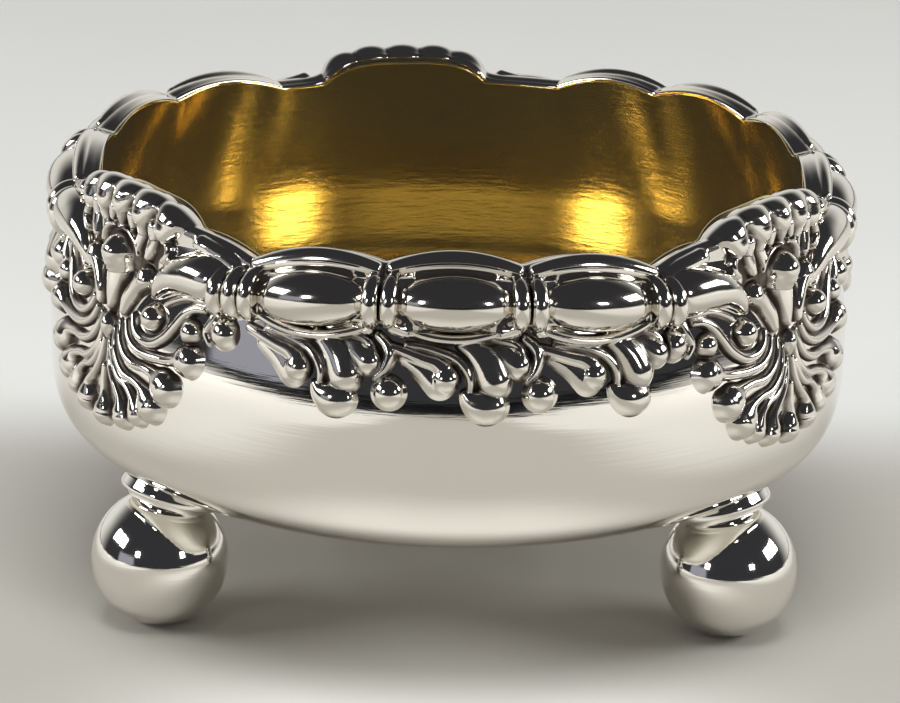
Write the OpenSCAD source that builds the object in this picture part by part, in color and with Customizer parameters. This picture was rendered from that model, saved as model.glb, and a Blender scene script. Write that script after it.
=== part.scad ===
// Open salt cellar: a round raised bowl with a gilt inside, standing on three ball feet.
// A cast border of olive beads, reels, scrolls and shells is soldered round its rim.
// Azimuths are measured from the front (-Y) and grow towards +X. Local -Y points outwards.

/* [Bowl] */
// Largest outer radius of the bowl
bowl_r = 34.9; // [30:0.1:42]
// Height of the bowl's widest circle above its lowest point
belly_h = 14.8; // [12:0.1:18]
// Height of the rim's low points, next to the arms of the shells, above the bowl's lowest point
rim_h = 27; // [24:0.1:30]
// Thickness of the bowl's wall
wall_t = 1.0; // [0.7:0.05:1.3]
// How far the wall curves in from its widest circle to the rim
neck_in = 2.9; // [1:0.1:4]
// Thickness of the gilt layer
gilt_t = 0.15; // [0.1:0.01:0.3]

/* [Rim] */
// How much the rim climbs from the ends of a bead run to its middle
rim_crown = 1.2; // [0.3:0.05:1.5]
// Rise of the rim's scallop over each bead, above the line between its low points
scallop_rise = 1.05; // [0.6:0.05:2.2]
// Rise of the rim over each shell, above the low points
fan_rise = 2.4; // [2:0.05:4]

/* [Beads] */
// Angle that one bead and its share of the reels take
bead_angle = 20.4; // [19:0.1:21]
// The same angle in the left run, which is fitted a little longer
left_bead_angle = 23.4; // [22:0.1:24]
// Length of an olive bead
bead_l = 8.9; // [8:0.05:9.4]
// Radius of an olive bead
bead_r = 2.35; // [2.2:0.05:2.8]
// Drop from the rim's low points to the beads' centres in the middle of a run
bead_drop = 1.25; // [0.6:0.05:1.8]
// Distance of the beads' centres outside the wall at the rim
bead_stand_off = 1.1; // [0.5:0.05:1.6]
// Radius of a reel disc
reel_r = 2.35; // [2:0.05:2.6]
// Thickness of one reel disc
reel_w = 1.15; // [0.9:0.05:1.3]
// Distance between the two discs of a reel pair
reel_gap = 1.45; // [1.2:0.05:1.6]
// Radius of the thin lip that hangs under each bead
lip_t = 0.38; // [0.3:0.01:0.5]
// Sag of that lip
lip_drop = 1.2; // [0.8:0.05:1.5]
// Thickness of the band behind the beads
band_t = 0.9; // [0.6:0.05:1.2]
// Thickness of a casting's feathered edge on the bowl
skin_t = 0.15; // [0.1:0.01:0.3]

/* [Scroll frieze] */
// Drop from the rim's low points to the frieze's top edge
frieze_drop = 4.5; // [3.5:0.1:5.5]
// Depth of the frieze below its top edge
frieze_depth = 6.8; // [6:0.1:7.5]
// Radius of the scroll ridges; the balls and leaf tips follow it
ridge_t = 0.45; // [0.35:0.01:0.5]
// Height of the relief's ridges and balls as a share of their radius
relief_share = 0.75; // [0.5:0.01:1]

/* [Shells] */
// Angle that the scalloped fan of a shell takes, to each side of its middle
fan_half_angle = 14; // [12:0.1:16]
// Height of the bumps along the fan's edge
lobe_rise = 0.9; // [0.5:0.05:1.2]
// Radius of the trefoil's top dome; the shell's other balls and ridges follow it
trefoil_r = 1.5; // [1.3:0.05:1.7]
// Drop from the rim's low points to the lowest point of a shell's pendant
pendant_drop = 17.2; // [15.6:0.1:17.8]

/* [Feet] */
// Radius of a ball foot
ball_r = 5.95; // [5:0.05:6.2]
// Wall thickness of the hollow balls
ball_wall = 0.5; // [0.4:0.05:0.8]
// Distance of a foot's centre inside the bowl's widest circle
foot_inset = 6.5; // [6:0.1:9]
// Radius of the collar's wide tier
collar_r = 4.4; // [4:0.05:5]
// Radius of the collar's narrow tier
collar_step_r = 3.6; // [3:0.05:4]
// Thickness of the collar's narrow tier
collar_tier = 0.6; // [0.5:0.05:0.8]
// Height of the collar's wide tier, up to the bowl's underside at the collar's middle
collar_h = 1.15; // [1:0.05:2]
// Radius of the worn flat under each ball
wear_r = 1.2; // [1:0.05:2]
// Slope of the bowl's underside, which the collars follow
collar_tilt = 18; // [12:0.5:24]
// How far a collar sits nearer the bowl's axis than its ball
collar_shift = 0.9; // [0.5:0.1:1.5]

/* [Hidden] */
$fn = 48;

// Overrun of cuts
over = 2;

// Beads in the front, right and left runs, and the angle that each run takes
bead_counts = [3, 4, 3];
bead_pitches = [bead_angle, bead_angle, left_bead_angle];
run_spans = [for (i = [0:2]) bead_counts[i] * bead_pitches[i]];
// The shells share what the runs leave of the circle
shell_span = (360 - run_spans[0] - run_spans[1] - run_spans[2]) / 3;
run_az = [0,
    run_spans[0] / 2 + shell_span + run_spans[1] / 2,
    -(run_spans[0] / 2 + shell_span + run_spans[2] / 2)];
shell_az = [(run_spans[0] + shell_span) / 2,
    run_az[1] + (run_spans[1] + shell_span) / 2,
    -(run_spans[0] + shell_span) / 2];
foot_az = [60, -60, 180];
fan_lobes_each_side = 3;
// Height of a ball's centre: the worn flat stands on the table
wear_drop = sqrt(ball_r * ball_r - wear_r * wear_r);
collar_z = ball_r + wear_drop - collar_tier;
foot_r = bowl_r - foot_inset;
collar_seat_r = foot_r - collar_shift;

// Bowl section, which the collars carry at their middles
corner_share = 0.41;
function belly_rise(r) = belly_h * (1 - pow(cos(asin(r / bowl_r)), corner_share));
bowl_bottom_z = collar_z + collar_h - belly_rise(collar_seat_r);
belly_z = bowl_bottom_z + belly_h;
rim_z = bowl_bottom_z + rim_h;
neck_r = bowl_r - neck_in;
neck_in_r = neck_r - wall_t;
bead_seat_r = neck_r + bead_stand_off;
bead_z = rim_z - bead_drop;
frieze_top_z = rim_z - frieze_drop;
pendant_z = rim_z - pendant_drop;
rim_top_z = rim_z + fan_rise + scallop_rise;
// How late the wall curves in above the belly
lean_share = 1.6;
wall_steps = 6;
function belly_curve(r, h) = [for (a = [0:5:90]) [r * sin(a), belly_z - h * pow(cos(a), corner_share)]];
function lean_curve(r, z) = [for (k = [1:wall_steps]) let (u = k / wall_steps)
    [r - neck_in * pow(u, lean_share), belly_z * (1 - u) + z * u]];
function section(t) = concat(belly_curve(bowl_r - t, belly_h - t), lean_curve(bowl_r - t, rim_z));

// Rim scallops
function arch_r(chord, rise) = (chord * chord / 4 + rise * rise) / (2 * rise);
fan_chord = 2 * neck_r * sin(fan_half_angle);
fan_base_z = rim_z + fan_rise / 3;
arm_angle = shell_span / 2 - fan_half_angle;
arm_reach_share = 1.2;
lip_z = frieze_top_z + lip_drop;

// Height of the rim at a place in a run, u from -1 at one end to 1 at the other
function crown_z(u) = rim_z + rim_crown * (1 - u * u);

module on_ring(az, r, z) { rotate([0, 0, az]) translate([0, -r, z]) children(); }

module turned(points) { rotate_extrude() polygon(points); }

// Solid of everything inside the bowl's outer face
module bowl_body(t = 0) {
    turned(concat(section(t), [[neck_r - t, rim_top_z + over], [0, rim_top_z + over]]));
}

// Chord of a bead's scallop, from low point to low point: height of its middle, slope and length
function chord_z(n, u) = (crown_z(u - 1 / n) + crown_z(u + 1 / n)) / 2;
function chord_slope(n, u, across) = atan((crown_z(u + 1 / n) - crown_z(u - 1 / n)) / across);
function across_bead(i) = 2 * neck_r * sin(bead_pitches[i] / 2);

// Radial cylinder that cuts the rim to an arch
module arch(az, base_z, chord, rise, slope = 0) {
    r = arch_r(chord, rise);
    on_ring(az, bowl_r + over, base_z) rotate([0, -slope, 0]) translate([0, 0, rise - r])
        rotate([-90, 0, 0]) cylinder(r = r, h = bowl_r);
}

module run_arches(i) {
    n = bead_counts[i];
    for (k = [0:n - 1]) {
        u = (2 * k + 1) / n - 1;
        slope = chord_slope(n, u, across_bead(i));
        arch(run_az[i] + u * run_spans[i] / 2, chord_z(n, u),
            across_bead(i) / cos(slope), scallop_rise, slope);
    }
}

module shell_arches(i) {
    arch(shell_az[i], fan_base_z, fan_chord, fan_rise - fan_rise / 3);
    for (side = [-1, 1])
        arch(shell_az[i] + side * (fan_half_angle + arm_angle / 2), rim_z,
            2 * neck_r * sin(arm_angle * arm_reach_share / 2), scallop_rise / 2);
}

module all_arches() {
    for (i = [0:2]) {
        run_arches(i);
        shell_arches(i);
    }
}

// Upright edge above the rim's low points, cut to the scalloped outline
module rim_scallops(r_in, r_out) {
    intersection() {
        translate([0, 0, rim_z]) difference() {
            cylinder(r = r_out, h = rim_top_z - rim_z);
            translate([0, 0, -over]) cylinder(r = r_in, h = rim_top_z);
        }
        all_arches();
    }
}

module bowl() {
    color("silver") union() {
        difference() {
            turned(concat(section(0), [[0, rim_z]]));
            bowl_body(wall_t);
        }
        rim_scallops(neck_in_r, neck_r);
    }
}

module gilt_lining() {
    color("goldenrod") union() {
        difference() {
            turned(concat(section(wall_t), [[0, rim_z]]));
            bowl_body(wall_t + gilt_t);
        }
        rim_scallops(neck_in_r - gilt_t, neck_in_r);
    }
}

// Heights of the relief above the wall are those of strokes: each is a round-backed ridge
// that tapers from [x, z, radius] to [x, z, radius]; a ball is a stroke of no length.
function stroke_h(x, z, p, q) =
    let (dx = q[0] - p[0], dz = q[1] - p[1], len2 = dx * dx + dz * dz,
         t = len2 == 0 ? 0 : max(0, min(1, ((x - p[0]) * dx + (z - p[1]) * dz) / len2)),
         ex = x - p[0] - t * dx, ez = z - p[1] - t * dz, r = p[2] + t * (q[2] - p[2]),
         h2 = r * r - ex * ex - ez * ez)
    h2 > 0 ? relief_share * sqrt(h2) : 0;
function relief_h(x, z, lines) = max([for (line = lines) for (k = [0:max(0, len(line) - 2)])
    stroke_h(x, z, line[k], line[min(k + 1, len(line) - 1)])]);

bead_end_share = 0.4;
// Radius of an olive bead's or a reel's surface, by the distance along the rim from its middle
function bead_reach(x, dz, length) =
    let (q = 1 - 4 * x * x / (length * length), r = q > 0 ? bead_r * pow(q, bead_end_share) : 0)
    r > abs(dz) ? bead_seat_r + sqrt(r * r - dz * dz) : 0;
function reel_reach(x, dz) =
    let (q = reel_w * reel_w / 4 - x * x, r = q > 0 ? reel_r - reel_w / 2 + sqrt(q) : 0)
    r > abs(dz) ? bead_seat_r + sqrt(r * r - dz * dz) : 0;

// Height of a scallop's arch at a distance from its middle
function arch_z(x, base_z, chord, rise, slope = 0) =
    let (r = arch_r(chord, rise), dx = x - (r - rise) * sin(slope))
    base_z - (r - rise) * cos(slope) + sqrt(max(0, r * r - dx * dx));

// Places on the wall: x is the distance from the casting's middle along the widest circle
function wall_x(angle) = angle * PI / 180 * bowl_r;
wall_table = [for (p = section(0)) if (p[1] > belly_z - belly_h / 2) [p[1], p[0]]];
function wall_r(z) = lookup(z, wall_table);

// Closed casting between its first and last column of angles. The front follows reach(angle, z),
// the back lies on the bowl and bends at the heights in bends, from the top down, and low(angle)
// and top(angle) give the two edges.
module casting(az, angles, rows, bends, low, top, reach) {
    column = function (a) let (z0 = low(a), z1 = top(a)) concat(
        [for (j = [0:rows]) let (z = z0 + (z1 - z0) * j / rows) [reach(a, z), z]],
        [for (z = concat(z1, bends, z0)) let (zb = max(z, z0)) [wall_r(zb), zb]]);
    n = rows + len(bends) + 3;
    last = len(angles) - 1;
    // An end face is a strip of triangles between its front and its back points
    end = function (a, c) let (z0 = low(a), z1 = top(a),
        back = [for (z = concat(z1, bends, z0)) max(z, z0)],
        front_mids = [for (j = [1:rows]) z0 + (z1 - z0) * (j - 1 / 2) / rows],
        back_mids = [for (k = [1:len(back) - 1]) (back[k - 1] + back[k]) / 2])
        concat(
            [for (j = [0:rows - 1])
                [c + j, c + j + 1, c + rows + 1 + len([for (m = back_mids) if (m > front_mids[j]) m])]],
            [for (k = [0:len(back) - 2])
                [c + rows + 1 + k, c + rows + 2 + k,
                    c + len([for (m = front_mids) if (m < back_mids[k]) m])]]);
    polyhedron(
        points = [for (a = angles) for (p = column(a))
            [p[0] * sin(az + a), -p[0] * cos(az + a), p[1]]],
        faces = concat(
            [for (i = [0:last - 1]) for (j = [0:n - 1]) let (k = (j + 1) % n, c = i * n, d = c + n)
                each [[c + j, d + k, d + j], [c + j, c + k, d + k]]],
            [for (f = end(angles[0], 0)) [f[2], f[1], f[0]]],
            end(angles[last], last * n)));
}
border_bends = [for (k = [wall_steps:-1:1]) belly_z + (rim_z - belly_z) * k / wall_steps];
shell_bends = concat(border_bends, belly_z);

// One repeat of the frieze: distances from its reel pair and drops below its top edge, as
// shares of the repeat's length and of the frieze's depth, and radii as shares of a ridge's
frieze_shares = [
    [[0.07, -0.08, 1], [0.22, 0.08, 1], [0.42, 0.17, 1], [0.53, 0.33, 1], [0.55, 0.5, 0.8]],
    [[0.2, 0.16, 0.7], [0.33, 0.27, 0.8], [0.44, 0.36, 0.8]],
    [[0.45, 0.46, 2.6]],
    [[0.6, 0.08, 1.6], [0.68, 0.3, 2.4], [0.73, 0.52, 3.3]],
    [[0.69, 0.78, 3]],
    [[0.62, 0, 0.8], [0.76, -0.02, 0.9], [0.88, 0.08, 0.9], [0.94, 0.24, 0.8]],
    [[0.91, 0.3, 2.4]],
    [[0, -0.02, 1], [0.05, 0.2, 1], [0.03, 0.38, 0.9], [-0.04, 0.5, 0.8]],
    [[0.05, 0.7, 2.9]]];
// Lower edge of the frieze over one repeat, which follows the drop ball, the scroll and the leaf
frieze_edge_shares = [[0, 0.88], [0.05, 0.92], [0.12, 0.85], [0.2, 0.5], [0.35, 0.45], [0.45, 0.66],
    [0.55, 0.6], [0.6, 0.7], [0.64, 0.95], [0.7, 1], [0.78, 0.9], [0.83, 0.5], [0.91, 0.5],
    [0.96, 0.75], [1, 0.88]];
function frieze_low(f) = frieze_top_z - frieze_depth * lookup(f, frieze_edge_shares);
function frieze_lines(x0, length) = [for (line = frieze_shares) [for (p = line)
    [x0 + p[0] * length, frieze_top_z - p[1] * frieze_depth, p[2] * ridge_t]]];

// Columns across one bead's share of the border, closer together at the reels
column_shares = [0, 0.02, 0.04, 0.06, 0.08, 0.1, 0.12, 0.18, 0.26, 0.34, 0.42, 0.5,
    0.58, 0.66, 0.74, 0.82, 0.88, 0.9, 0.92, 0.94, 0.96, 0.98];

// Front face of the plain band behind the beads
function band_reach(z) = wall_r(z) + lookup(z, [
    [frieze_top_z - lip_t, skin_t], [lip_z - lip_t, band_t], [rim_z, band_t], [rim_top_z, skin_t]]);

lip_share = 0.4;
border_rows = 24;
module bead_border(i) {
    n = bead_counts[i];
    pitch = bead_pitches[i];
    half = run_spans[i] / 2;
    length = bead_l * pitch / bead_angle;
    lines = concat([for (k = [0:n - 1]) each frieze_lines(wall_x(k * pitch - half), wall_x(pitch))],
        [for (k = [0:n - 1]) [for (t = [-1:0.25:1]) [wall_x((k + 0.5) * pitch - half + t * pitch * lip_share),
            lip_z - lip_drop * (1 - t * t), lip_t]]]);
    middle_z = function (a) bead_z - rim_crown * pow(a / half, 2);
    bead_at = function (a) let (k = min(n - 1, max(0, floor((a + half) / pitch)))) (k + 0.5) * pitch - half;
    reel_at = function (a) let (k = round((a + half) / pitch), c = k * pitch - half,
        off = reel_gap / 2 / bead_seat_r * 180 / PI)
        k == 0 ? c + off : k == n ? c - off : a > c ? c + off : c - off;
    top = function (a) let (c = bead_at(a), slope = chord_slope(n, c / half, across_bead(i)))
        arch_z(neck_r * sin(a - c), chord_z(n, c / half), across_bead(i) / cos(slope), scallop_rise, slope);
    low = function (a) let (f = (a + half) / pitch) frieze_low(f - min(n - 1, floor(f)));
    reach = function (a, z) max(band_reach(z) + relief_h(wall_x(a), z, lines),
        bead_reach(bead_seat_r * sin(a - bead_at(a)), z - middle_z(bead_at(a)), length),
        reel_reach(bead_seat_r * sin(a - reel_at(a)), z - middle_z(a) + ridge_t));
    angles = concat([for (k = [0:n - 1]) for (c = column_shares) (k + c) * pitch - half], [half]);
    casting(run_az[i], angles, border_rows, border_bends, low, top, reach);
}

// Outline of a shell's pendant: half widths and heights as shares of the half width and depth
pendant_shares = [[0, 0], [0.22, 0.04], [0.38, 0.2], [0.5, 0.4], [0.64, 0.6], [0.72, 0.75],
    [0.85, 0.93], [1, 1]];
// Relief of one half of a shell, as shares of its half width, of its height and of the trefoil's dome
shell_shares = [
    [[0, 0.765, 1]], [[0.27, 0.68, 0.75]],
    [[0, 0.74, 0.9], [0, 0.62, 0.85], [0.06, 0.54, 0.4]],
    [[0.27, 0.67, 0.6], [0.14, 0.6, 0.5], [0.13, 0.54, 0.4]],
    [[0, 0.45, 0.4], [0, 0.4, 0.3]],
    [[0.18, 0.85, 0.3], [0.16, 0.8, 0.3], [0, 0.87, 0.3]],
    [[0.37, 0.54, 0.8]],
    [[1, 0.76, 1.5], [0.8, 0.76, 1.5], [0.6, 0.72, 1.1], [0.45, 0.66, 0.5]],
    [[1, 0.64, 0.3], [0.75, 0.65, 0.3], [0.55, 0.62, 0.3], [0.46, 0.56, 0.3]],
    [[0.72, 0.61, 0.35], [0.61, 0.57, 0.35], [0.52, 0.49, 0.35], [0.37, 0.41, 0.35], [0.2, 0.41, 0.3],
        [0.15, 0.47, 0.25]],
    [[0.9, 0.58, 0.85]], [[0.68, 0.53, 0.8]],
    [[0.64, 0.4, 1]], [[0.5, 0.28, 0.95]], [[0.38, 0.17, 0.9]], [[0.23, 0.1, 0.8]], [[0.08, 0.07, 0.7]],
    [[0.5, 0.41, 0.3], [0.3, 0.36, 0.3], [0.12, 0.37, 0.3], [0.06, 0.43, 0.25]],
    [[0.46, 0.3, 0.35], [0.3, 0.29, 0.3], [0.15, 0.31, 0.3], [0.05, 0.38, 0.25]],
    [[0.34, 0.19, 0.35], [0.24, 0.21, 0.3], [0.13, 0.25, 0.3], [0.04, 0.35, 0.25]],
    [[0.2, 0.12, 0.3], [0.15, 0.17, 0.3], [0.07, 0.22, 0.3], [0.03, 0.33, 0.2]],
    [[0.07, 0.1, 0.25], [0.04, 0.17, 0.25], [0.01, 0.28, 0.2]],
    [[0, 0.985, 1], [0.02, 0.92, 0.7], [0.05, 0.87, 0.3]],
    [[0.2, 0.97, 0.95], [0.16, 0.9, 0.65], [0.13, 0.86, 0.3]],
    [[0.39, 0.93, 0.9], [0.32, 0.87, 0.6], [0.24, 0.82, 0.3]],
    [[0.56, 0.87, 0.8], [0.46, 0.82, 0.55], [0.36, 0.77, 0.3]]];

shell_rows = 30;
shell_columns = 40;
module shell(i) {
    half = shell_span / 2;
    w = wall_x(half);
    height = rim_top_z - pendant_z;
    lines = [for (side = [-1, 1]) for (line = shell_shares) [for (p = line)
        [side * p[0] * w, pendant_z + p[1] * height, p[2] * trefoil_r]]];
    low = function (a) pendant_z + (frieze_top_z - pendant_z) * lookup(abs(a) / half, pendant_shares);
    lobe = fan_half_angle / fan_lobes_each_side;
    top = function (a) abs(a) > fan_half_angle
        ? arch_z(neck_r * sin(abs(a) - fan_half_angle - arm_angle / 2), rim_z,
            2 * neck_r * sin(arm_angle / 2), scallop_rise / 2)
            + (fan_base_z - rim_z) * max(0, 1 - (abs(a) - fan_half_angle) / lobe)
        : arch_z(neck_r * sin(a), fan_base_z, fan_chord, fan_rise)
            + lobe_rise * (abs(cos(a / lobe * 90)) - 1 / 2);
    plate = function (z) wall_r(z) + lookup(z, [
        [pendant_z, skin_t], [frieze_top_z, band_t / 2], [lip_z + lip_drop, band_t * 2],
        [rim_top_z, band_t / 2]]);
    reach = function (a, z) plate(z) + relief_h(wall_x(a), z, lines);
    angles = [for (j = [0:shell_columns]) half * (2 * j / shell_columns - 1)];
    casting(shell_az[i], angles, shell_rows, shell_bends, low, top, reach);
}

module bead_border_front() { color("silver") bead_border(0); }
module bead_border_right() { color("silver") bead_border(1); }
module bead_border_left() { color("silver") bead_border(2); }
module shell_front_right() { color("silver") shell(0); }
module shell_back() { color("silver") shell(1); }
module shell_front_left() { color("silver") shell(2); }

// Hollow ball foot: only the part above or below its soldered middle
module ball_half(i, upper) {
    color("silver") on_ring(foot_az[i], foot_r, wear_drop) difference() {
        intersection() {
            sphere(r = ball_r);
            translate([0, 0, upper ? 0 : -ball_r]) cylinder(r = ball_r + over, h = ball_r);
            translate([0, 0, -wear_drop]) cylinder(r = ball_r + over, h = 2 * ball_r);
        }
        sphere(r = ball_r - ball_wall);
    }
}

module foot_collar(i) {
    color("silver") difference() {
        on_ring(foot_az[i], collar_seat_r, collar_z) rotate([-collar_tilt, 0, 0]) union() {
            cylinder(r = collar_r, h = 2 * collar_h);
            translate([0, 0, -collar_tier]) cylinder(r = collar_step_r, h = 2 * collar_tier);
        }
        bowl_body();
        on_ring(foot_az[i], foot_r, wear_drop) sphere(r = ball_r);
    }
}

module foot_collar_right() { foot_collar(0); }
module foot_collar_left() { foot_collar(1); }
module foot_collar_back() { foot_collar(2); }
module ball_upper_right() { ball_half(0, true); }
module ball_upper_left() { ball_half(1, true); }
module ball_upper_back() { ball_half(2, true); }
module ball_lower_right() { ball_half(0, false); }
module ball_lower_left() { ball_half(1, false); }
module ball_lower_back() { ball_half(2, false); }

bowl();
gilt_lining();
bead_border_front();
bead_border_right();
bead_border_left();
shell_front_right();
shell_back();
shell_front_left();
foot_collar_right();
foot_collar_left();
foot_collar_back();
ball_upper_right();
ball_upper_left();
ball_upper_back();
ball_lower_right();
ball_lower_left();
ball_lower_back();
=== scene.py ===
import math

import bmesh
import bpy
import numpy as np
from mathutils import Matrix, Vector


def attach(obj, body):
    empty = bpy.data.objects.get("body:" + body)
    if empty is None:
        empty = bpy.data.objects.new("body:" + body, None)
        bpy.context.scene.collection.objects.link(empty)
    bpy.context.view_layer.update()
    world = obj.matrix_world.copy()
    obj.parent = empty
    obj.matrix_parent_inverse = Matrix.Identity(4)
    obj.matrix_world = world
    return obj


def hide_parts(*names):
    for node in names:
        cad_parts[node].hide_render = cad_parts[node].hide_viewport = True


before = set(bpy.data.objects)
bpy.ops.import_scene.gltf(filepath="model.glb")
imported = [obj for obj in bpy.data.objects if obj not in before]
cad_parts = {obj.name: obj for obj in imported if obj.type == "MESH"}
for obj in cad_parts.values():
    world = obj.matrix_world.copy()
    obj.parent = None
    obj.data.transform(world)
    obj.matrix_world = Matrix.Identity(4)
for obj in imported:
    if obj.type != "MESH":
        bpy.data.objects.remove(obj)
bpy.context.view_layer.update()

scene = bpy.context.scene
scene.view_settings.view_transform = "Standard"
MM = 0.001


# The table top that the salt stands on, a pale board with a faint grain and painted light: darker
# in front, lighter behind the salt and at the sides, a painted pool of light just in front of the
# bowl, and painted shade, near-black, on the far floor where the metal sees it. Then the room that
# the silver reflects: dark, with a pale wall behind and a soft grey window to the left.
class Wire:
    """A node's output, so that sums on it are written as sums."""

    def __init__(self, sheet, socket):
        self.sheet, self.socket = sheet, socket

    def __add__(self, other): return self.sheet.maths("ADD", self, other)
    def __radd__(self, other): return self.sheet.maths("ADD", other, self)
    def __sub__(self, other): return self.sheet.maths("SUBTRACT", self, other)
    def __rsub__(self, other): return self.sheet.maths("SUBTRACT", other, self)
    def __mul__(self, other): return self.sheet.maths("MULTIPLY", self, other)
    def __rmul__(self, other): return self.sheet.maths("MULTIPLY", other, self)
    def __truediv__(self, other): return self.sheet.maths("DIVIDE", self, other)
    def __rtruediv__(self, other): return self.sheet.maths("DIVIDE", other, self)
    def __pow__(self, other): return self.sheet.maths("POWER", self, other)

    def out(self, name):
        """Another output of the same node."""
        return Wire(self.sheet, self.socket.node.outputs[name])


class Sheet:
    """A node tree that nodes are added to, for materials, the world and geometry."""

    def __init__(self, tree):
        self.tree = tree

    def add(self, kind, settings=None, values=None):
        """A node of a kind, with its settings and the values or links of its sockets."""
        node = self.tree.nodes.new(kind)
        for name, value in (settings or {}).items():
            setattr(node, name, value)
        for name, value in (values or {}).items():
            socket = node.inputs[int(name)] if name.isdigit() else next(
                (s for s in node.inputs if s.identifier == name), None) or node.inputs[name]
            if isinstance(value, Wire):
                self.tree.links.new(value.socket, socket)
            else:
                socket.default_value = value
        return Wire(self, next((s for s in node.outputs if s.enabled), None))

    def maths(self, operation, *values):
        """One step of sums on numbers and wires."""
        return self.add("ShaderNodeMath", {"operation": operation},
                        {str(k): value for k, value in enumerate(values)})

    def ramp(self, value, start, end, kind="SMOOTHSTEP"):
        """Goes from 0 to 1 while the value goes from start to end."""
        return self.add("ShaderNodeMapRange", {"interpolation_type": kind},
                        {"Value": value, "From Min": start, "From Max": end})

    def noise(self, place, scale, detail):
        """A soft uneven pattern, around one half."""
        return self.add("ShaderNodeTexNoise", None,
                        {"Vector": place, "Scale": scale, "Detail": detail})

    def blend(self, share, a, b):
        """Mixes two colours."""
        return self.add("ShaderNodeMix", {"data_type": "RGBA"},
                        {"Factor_Float": share, "A_Color": a, "B_Color": b})


def new_finish(name):
    """An empty material, and the sheet of its nodes."""
    finish = bpy.data.materials.new(name)
    finish.use_nodes = True
    finish.node_tree.nodes.clear()
    return finish, Sheet(finish.node_tree)


board_reach = 3.0
# Painted light: the board is darker in front and lighter from just behind the salt on, standing in
# for the light that falls there.
board_shaded_front = (0.51, 0.495, 0.45, 1)
# Painted light: lighter towards the sides, where the side lamps light the floor.
board_lit_side = (0.80, 0.79, 0.75, 1)
# Painted light: a paler patch just in front of the bowl, a painted pool of light.
painted_light_pool = (0.78, 0.765, 0.72, 1)
board_lit_back = (0.80, 0.805, 0.775, 1)
painted_light_change_y = (0.022, 0.048)
painted_side_light_x = (0.048, 0.085)
light_pool_start_y, light_pool_end_y = (-0.018, -0.036), (-0.075, -0.038)
light_pool_x = (0.036, 0.010)
grain_tone, grain_share = (0.3, 0.29, 0.26, 1), 0.06
# Painted shade: the far floor, as the metal sees it, is near-black.
far_floor_painted_shade, painted_shade_starts_y = (0.012, 0.012, 0.014, 1), -0.32

bm = bmesh.new()
bmesh.ops.create_grid(bm, x_segments=1, y_segments=1, size=board_reach)
board_mesh = bpy.data.meshes.new("table_top")
bm.to_mesh(board_mesh)
bm.free()
board = bpy.data.objects.new("table_top", board_mesh)
scene.collection.objects.link(board)
board_finish, sheet = new_finish("board_with_painted_light")
place = sheet.add("ShaderNodeTexCoord").out("Object")
depth = sheet.add("ShaderNodeSeparateXYZ", None, {"Vector": place}).out("Y")
aside = sheet.maths("ABSOLUTE", depth.out("X"))
# Painted light: darker in front, lighter behind the salt and towards the sides.
shade = sheet.blend(sheet.ramp(depth, *painted_light_change_y), board_shaded_front, board_lit_back)
shade = sheet.blend(sheet.ramp(aside, *painted_side_light_x), shade, board_lit_side)
# Painted light: the pool of light just in front of the bowl.
near = (sheet.ramp(depth, *light_pool_start_y) * sheet.ramp(depth, *light_pool_end_y)
        * sheet.ramp(aside, *light_pool_x))
shade = sheet.blend(near, shade, painted_light_pool)
shade = sheet.blend(grain_share * sheet.noise(place, 30.0, 6.0), shade, grain_tone)
# Painted shade: the floor beyond the far line is near-black in the metal's reflections.
in_room = sheet.maths("LESS_THAN", depth, painted_shade_starts_y)
painted_shade_in_metal = in_room * sheet.add("ShaderNodeLightPath").out("Is Glossy Ray")
shade = sheet.blend(painted_shade_in_metal, shade, far_floor_painted_shade)
surface = sheet.add("ShaderNodeBsdfDiffuse", None, {"Color": shade})
sheet.add("ShaderNodeOutputMaterial", None, {"Surface": surface})
board_mesh.materials.append(board_finish)

dark_room, pale_wall = (0.035, 0.035, 0.04, 1), (0.80, 0.80, 0.77, 1)
window_grey, backdrop = (0.33, 0.34, 0.40, 1), (0.82, 0.825, 0.80, 1)
wall_start_y, wall_end_z = (0.15, 0.75), (0.25, 0.8)
window_near_x, window_far_x = (-0.62, -0.70), (-0.98, -0.93)
window_y, window_z = (-0.30, -0.36), (0.26, 0.20)

world = bpy.data.worlds.new("studio")
scene.world = world
world.use_nodes = True
world.node_tree.nodes.clear()
sheet = Sheet(world.node_tree)
toward = sheet.add("ShaderNodeSeparateXYZ", None, {"Vector": sheet.add("ShaderNodeTexCoord")})
behind = sheet.ramp(toward.out("Y"), *wall_start_y)
high = sheet.ramp(toward.out("Z"), *wall_end_z)
room = sheet.blend(behind * (1 - high), dark_room, pale_wall)
window = (sheet.ramp(toward.out("X"), *window_near_x) * sheet.ramp(toward.out("X"), *window_far_x)
          * sheet.ramp(toward.out("Y"), *window_y) * sheet.ramp(toward.out("Z"), *window_z))
room = sheet.blend(window, room, window_grey)
room = sheet.blend(sheet.add("ShaderNodeLightPath").out("Is Camera Ray"), room, backdrop)
light = sheet.add("ShaderNodeBackground", None, {"Color": room, "Strength": 1.0})
sheet.add("ShaderNodeOutputWorld", None, {"Surface": light})


# Two soft boxes, low at the sides, and two small lamps nearer the front, as the highlights on the
# ball feet show. A wide box above lights the inside of the bowl, and stays out of the mirrors.
lamp_away, lamps_aim = 0.45, Vector((0, 0, 0.02))


def soft_box(name, toward, distance, width, height, watts, seen=True):
    """A lamp with a flat face that looks at the salt."""
    lamp = bpy.data.lights.new(name, "AREA")
    lamp.shape, lamp.size, lamp.size_y = "RECTANGLE", width, height
    lamp.energy = watts
    box = bpy.data.objects.new(name, lamp)
    way = Vector(toward).normalized()
    box.location = way * distance + lamps_aim
    box.rotation_euler = way.to_track_quat("Z", "Y").to_euler()
    box.visible_camera = False
    box.visible_glossy = seen
    scene.collection.objects.link(box)


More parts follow.
